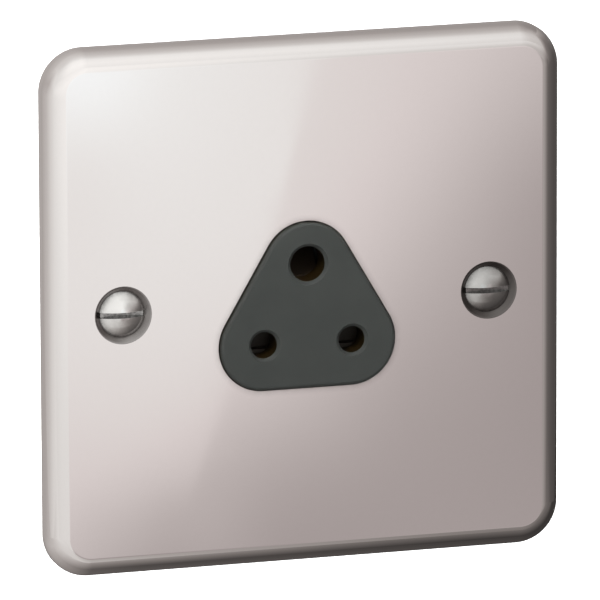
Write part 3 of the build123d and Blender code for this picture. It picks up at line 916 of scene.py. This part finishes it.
mainCard = {  # the pale board that the plate mirrors: brightness over the plate, in screen levels
    "distance": 250.0,  # mm in front of the wall
    "reach": 62.0, "steps": 230,  # plate mm from the middle, grid
    "unit": 40.0,  # plate mm for which the shares below hold
    "left": (216.8, -12.1, 5.7, -13.5, -5.6, -2.0),  # 1, x, z, xz, xx, zz
    "right": (179.7, -16.8, 39.0, -21.6, -5.2, 14.8),
    "turn": (0.153, 0.734, -0.226), "turnWidth": 0.201,  # where left gives way to right
    "crease": (-0.225, 0.304, -0.050), "creaseLevels": 11.0, "creaseWidths": (0.005, 0.20),
    "creaseEnd": (-0.74, 0.035),  # where it fades out towards the bottom
    "patches": (  # x, z, levels, radius
        (-0.86, 0.97, 9.0, 0.20), (-1.05, 0.52, -8.0, 0.32), (1.0, 0.35, -6.0, 0.32),
        (0.05, -0.46, 5.0, 0.25), (-0.85, -0.81, -4.5, 0.14), (-0.60, -0.79, -5.0, 0.14),
        (-0.38, -0.98, 8.0, 0.20),
    ),
    "limits": (120.0, 250.0),
    "warmth": (7.4, -2.8, 208.0, 246.0),  # red and green levels, whole below, none above
}
screenCurve = {"white": 255, "knee": 0.04045, "slope": 12.92, "lift": 0.055, "power": 2.4}
fullStep = 40.0  # beyond it a soft step is complete


def softStep(value):
    return 1 / (1 + math.exp(-max(-fullStep, min(fullStep, value))))


def levelToLight(level):
    share = level / screenCurve["white"]
    if share <= screenCurve["knee"]:
        return share / screenCurve["slope"]
    return ((share + screenCurve["lift"]) / (1 + screenCurve["lift"])) ** screenCurve["power"]


def weigh(factors, terms):
    return sum(factor * term for factor, term in zip(factors, terms))


def cardLevel(x, z):
    terms = (1, x, z, x * z, x * x, z * z)
    bend = (1, z, z * z)
    left, right = weigh(mainCard["left"], terms), weigh(mainCard["right"], terms)
    turned = softStep((x - weigh(mainCard["turn"], bend)) / mainCard["turnWidth"])
    level = left + (right - left) * turned
    offCrease = x - weigh(mainCard["crease"], bend)
    narrow, wide = mainCard["creaseWidths"]
    creaseEnd, fading = mainCard["creaseEnd"]
    depth = mainCard["creaseLevels"] * softStep((z - creaseEnd) / fading)
    level -= depth * (softStep(offCrease / narrow) - softStep(offCrease / wide))
    for patchX, patchZ, levels, radius in mainCard["patches"]:
        level += levels * math.exp(-((x - patchX) ** 2 + (z - patchZ) ** 2) / radius**2)
    return level


def cardColour(x, z):
    level = cardLevel(x, z)
    redMost, greenMost, warmBelow, whiteAbove = mainCard["warmth"]
    share = min(1.0, max(0.0, (whiteAbove - level) / (whiteAbove - warmBelow)))
    red, green = redMost * share, greenMost * share**2
    darkest, palest = mainCard["limits"]
    level = min(palest, max(darkest, level))
    shown = (level + red, level + green, level - red - green)
    return [levelToLight(part) / metal for part, metal in zip(shown, plateFinish["colour"])]


def makeMainCard():
    steps, reach, unit = mainCard["steps"], mainCard["reach"], mainCard["unit"]
    eye = Vector(view["aim"]) - lookDirection * view["distance"]
    mirrored = Vector((eye.x, 2 * plateFaceY / mm - eye.y, eye.z))
    spread = (mirrored.y + mainCard["distance"]) / (mirrored.y - plateFaceY / mm)
    points, colours = [], []
    for row in range(steps + 1):
        z = (2 * row / steps - 1) * reach
        for column in range(steps + 1):
            x = (2 * column / steps - 1) * reach
            spot = Vector((mirrored.x + (x - mirrored.x) * spread, -mainCard["distance"],
                           mirrored.z + (z - mirrored.z) * spread))
            points.append(spot * mm)
            colours.append((*cardColour(x / unit, z / unit), 1))
    makeShadedCard("mainCard", points, colours, steps)


def makeShadedCard(name, points, colours, steps):  # seen in metal only, and throws no shadow
    faces = []
    for row in range(steps):
        for column in range(steps):
            first = row * (steps + 1) + column
            faces.append((first, first + 1, first + steps + 2, first + steps + 1))
    mesh = bpy.data.meshes.new(name)
    mesh.from_pydata(points, [], faces)
    shade = mesh.color_attributes.new("shade", "FLOAT_COLOR", "POINT")
    for index, colour in enumerate(colours):
        shade.data[index].color = colour
    mesh.materials.append(cardMaterial)
    card = addObject(name, mesh)
    card.visible_camera = False
    card.visible_diffuse = False
    card.visible_shadow = False


def makeCardMaterial():
    material = bpy.data.materials.new("cardShade")
    material.use_nodes = True
    tree = material.node_tree
    tree.nodes.clear()
    read = addNode(tree, "ShaderNodeAttribute", attribute_name="shade")
    glow = feed(tree, addNode(tree, "ShaderNodeEmission"), {"Color": read.outputs["Color"]})
    feed(tree, addNode(tree, "ShaderNodeOutputMaterial"), {"Surface": glow.outputs[0]})
    return material


cardMaterial = makeCardMaterial()
cards = {  # name: corners in metres, and the brightness over them, row by row, as metals see it
    "frontLeft": (
        [(-0.42, -0.26, -0.14), (0.02, -0.26, -0.14), (0.02, -0.26, 0.14), (-0.42, -0.26, 0.14)],
        ((0.83, 0.83), (0.91, 0.90), (0.94, 1.08), (0.96, 1.20), (0.93, 1.18), (0.90, 1.15)),
    ),
    "frontTop": (
        [(0.02, -0.26, 0.00), (0.40, -0.26, 0.00), (0.40, -0.26, 0.14), (0.02, -0.26, 0.14)],
        ((1.20, 0.80, 0.60, 0.45, 0.30, 0.21, 0.15),
         (1.20, 0.89, 0.67, 0.60, 0.50, 0.38, 0.30),
         (1.22, 0.98, 0.82, 0.77, 0.69, 0.57, 0.46),
         (1.18, 1.00, 0.90, 0.84, 0.77, 0.71, 0.66)),
    ),
    "frontRight": (
        [(0.13, -0.26, -0.14), (0.40, -0.26, -0.14), (0.40, -0.26, 0.00), (0.13, -0.26, 0.00)],
        ((0.42, 0.29, 0.17, 0.14), (0.52, 0.40, 0.23, 0.16)),
    ),
    "topBox": (
        [(-0.42, -0.26, 0.14), (0.40, -0.26, 0.14), (0.45, -0.10, 0.42), (-0.46, -0.10, 0.42)],
        ((0.90, 0.93, 0.99, 1.12, 1.14, 0.94, 0.70, 0.67, 0.62),
         (0.92, 0.92, 1.02, 1.18, 1.20, 1.02, 0.76, 0.72, 0.68),
         (0.88, 0.86, 0.94, 1.12, 1.14, 0.98, 0.72, 0.70, 0.66),
         (0.84, 0.80, 0.82, 0.94, 0.94, 0.80, 0.60, 0.60, 0.58)),
    ),
    "overhead": (
        [(-0.46, -0.10, 0.42), (0.45, -0.10, 0.42), (0.50, 0.20, 0.40), (-0.50, 0.20, 0.40)],
        ((0.84, 0.80, 0.82, 0.94, 0.94, 0.80, 0.58, 0.60, 0.58),
         (0.80, 0.78, 0.78, 0.80, 0.77, 0.64, 0.46, 0.50, 0.46),
         (0.74, 0.74, 0.74, 0.74, 0.67, 0.56, 0.38, 0.36, 0.34),
         (0.64, 0.64, 0.64, 0.64, 0.58, 0.48, 0.34, 0.32, 0.30)),
    ),
    "overheadBack": (
        [(-0.50, 0.20, 0.40), (0.50, 0.20, 0.40), (0.50, 0.60, 0.34), (-0.50, 0.60, 0.34)],
        ((0.64, 0.64, 0.58, 0.34, 0.30), (0.54, 0.54, 0.50, 0.38, 0.30)),
    ),
    "behind": (
        [(-0.50, 0.60, 0.34), (0.50, 0.60, 0.34), (0.50, 0.60, -0.141), (-0.50, 0.60, -0.141)],
        ((0.54, 0.52, 0.32), (0.50, 0.45, 0.10)),
    ),
    "leftSide": (
        [(-0.42, -0.26, -0.14), (-0.42, -0.26, 0.14), (-0.46, -0.10, 0.42), (-0.46, 0.10, -0.14)],
        ((0.90, 0.92, 0.95), (0.82, 0.77, 0.90), (0.66, 0.55, 0.86)),
    ),
    "leftBack": (
        [(-0.46, 0.10, -0.14), (-0.46, -0.10, 0.42), (-0.50, 0.60, 0.34), (-0.50, 0.60, -0.141)],
        ((0.66, 0.55, 0.86), (0.54, 0.51, 0.62), (0.47, 0.48, 0.54)),
    ),
    "rightSide": (
        [(0.40, -0.26, 0.14), (0.40, -0.26, -0.14), (0.44, 0.10, -0.14), (0.45, -0.10, 0.42)],
        ((0.65, 0.30, 0.15, 0.14), (0.62, 0.23, 0.12, 0.10), (0.58, 0.24, 0.10, 0.085)),
    ),
    "rightBack": (
        [(0.45, -0.10, 0.42), (0.44, 0.10, -0.14), (0.50, 0.60, -0.141), (0.50, 0.60, 0.34)],
        ((0.58, 0.24, 0.10, 0.085), (0.32, 0.20, 0.10, 0.08)),
    ),
    "underFront": (
        [(-0.50, -0.256, -0.1285), (0.46, -0.256, -0.1285),
         (0.46, -0.13, -0.136), (-0.50, -0.13, -0.136)],
        ((0.90, 0.90, 0.90, 0.90, 0.88, 0.87, 0.80, 0.37, 0.27, 0.24, 0.20, 0.16, 0.14),
         (0.75, 0.75, 0.75, 0.76, 0.78, 0.79, 0.73, 0.28, 0.16, 0.14, 0.14, 0.14, 0.14)),
    ),
    "under": (
        [(-0.50, -0.13, -0.136), (0.50, -0.13, -0.136),
         (0.50, -0.02, -0.139), (-0.50, -0.02, -0.139)],
        ((0.75, 0.75, 0.75, 0.75, 0.75, 0.76, 0.78, 0.79, 0.77, 0.66, 0.42,
          0.22, 0.18, 0.17, 0.16, 0.16, 0.16, 0.16, 0.16, 0.16, 0.16),
         (0.65, 0.65, 0.65, 0.64, 0.64, 0.65, 0.66, 0.62, 0.46, 0.25, 0.09,
          0.05, 0.05, 0.05, 0.05, 0.05, 0.05, 0.05, 0.05, 0.05, 0.05)),
    ),
    "underBack": (
        [(-0.50, -0.02, -0.139), (0.50, -0.02, -0.139),
         (0.50, 0.60, -0.141), (-0.50, 0.60, -0.141)],
        ((0.65, 0.65, 0.64, 0.66, 0.46, 0.09, 0.05, 0.05, 0.05, 0.05, 0.05),
         (0.50, 0.50, 0.48, 0.46, 0.40, 0.20, 0.08, 0.05, 0.05, 0.05, 0.05),
         (0.47, 0.47, 0.46, 0.44, 0.40, 0.34, 0.24, 0.12, 0.08, 0.06, 0.06)),
    ),
}
cardGrid = 18
cardTint = {"dark": (1, 0.925, 0.89), "pale": (1, 1.01, 0.997), "darkest": 0.25, "palest": 0.95}


def readNet(net, along, up):  # brightness between the rows and columns of a net
    places = []
    for share, count in ((up, len(net)), (along, len(net[0]))):
        place = share * (count - 1)
        first = min(int(place), count - 2)
        places.append((first, place - first))
    (row, upward), (column, onward) = places
    near = net[row][column] * (1 - onward) + net[row][column + 1] * onward
    far = net[row + 1][column] * (1 - onward) + net[row + 1][column + 1] * onward
    return near * (1 - upward) + far * upward


def tintShade(shade):
    darkest, palest = cardTint["darkest"], cardTint["palest"]
    pale = min(1.0, max(0.0, (shade - darkest) / (palest - darkest)))
    tint = [dark + (light - dark) * pale for dark, light in zip(cardTint["dark"], cardTint["pale"])]
    return (*(shade * part for part in tint), 1)


def makeCards():
    for name, (corners, net) in cards.items():
        corners = [Vector(corner) for corner in corners]
        points, colours = [], []
        for row in range(cardGrid + 1):
            up = row / cardGrid
            for column in range(cardGrid + 1):
                along = column / cardGrid
                weights = ((1 - along) * (1 - up), along * (1 - up), along * up, (1 - along) * up)
                parts = (corner * weight for corner, weight in zip(corners, weights))
                points.append(sum(parts, Vector()))
                colours.append(tintShade(readNet(net, along, up)))
        makeShadedCard(name, points, colours, cardGrid)


lamps = {  # name: place in metres, aim, size in metres, power in watts, and if metals mirror it
    "keyLamp": ((-0.75, -0.95, 0.95), (0, 0, 0), 0.55, 7.0, False),
    "fillLamp": ((0.9, -1.1, 0.3), (0, 0, 0), 0.9, 2.0, False),
    "nearLamp": ((-0.03, -0.085, 0.115), (0, 0, 0.01), 0.03, 0.19, False),
    "backLamp": ((-0.55, 1.0, 0.75), (0, 0, 0), 0.5, 22.0, False),
    "backFillLamp": ((0.9, 0.9, 0.1), (0, 0, 0), 0.8, 9.0, True),
}


def makeLamps():
    for name, (place, aim, size, power, mirrored) in lamps.items():
        data = bpy.data.lights.new(name, "AREA")
        data.shape = "DISK"
        data.size = size
        data.energy = power
        lamp = addObject(name, data)
        lamp.visible_glossy = mirrored
        turn = (Vector(aim) - Vector(place)).to_track_quat("-Z", "Y").to_matrix().to_4x4()
        lamp.matrix_world = Matrix.Translation(place) @ turn


makeFloor()
makeWorld()
makeMainCard()
makeCards()
makeLamps()
bpy.context.scene.view_settings.view_transform = "Standard"
print("stage set")
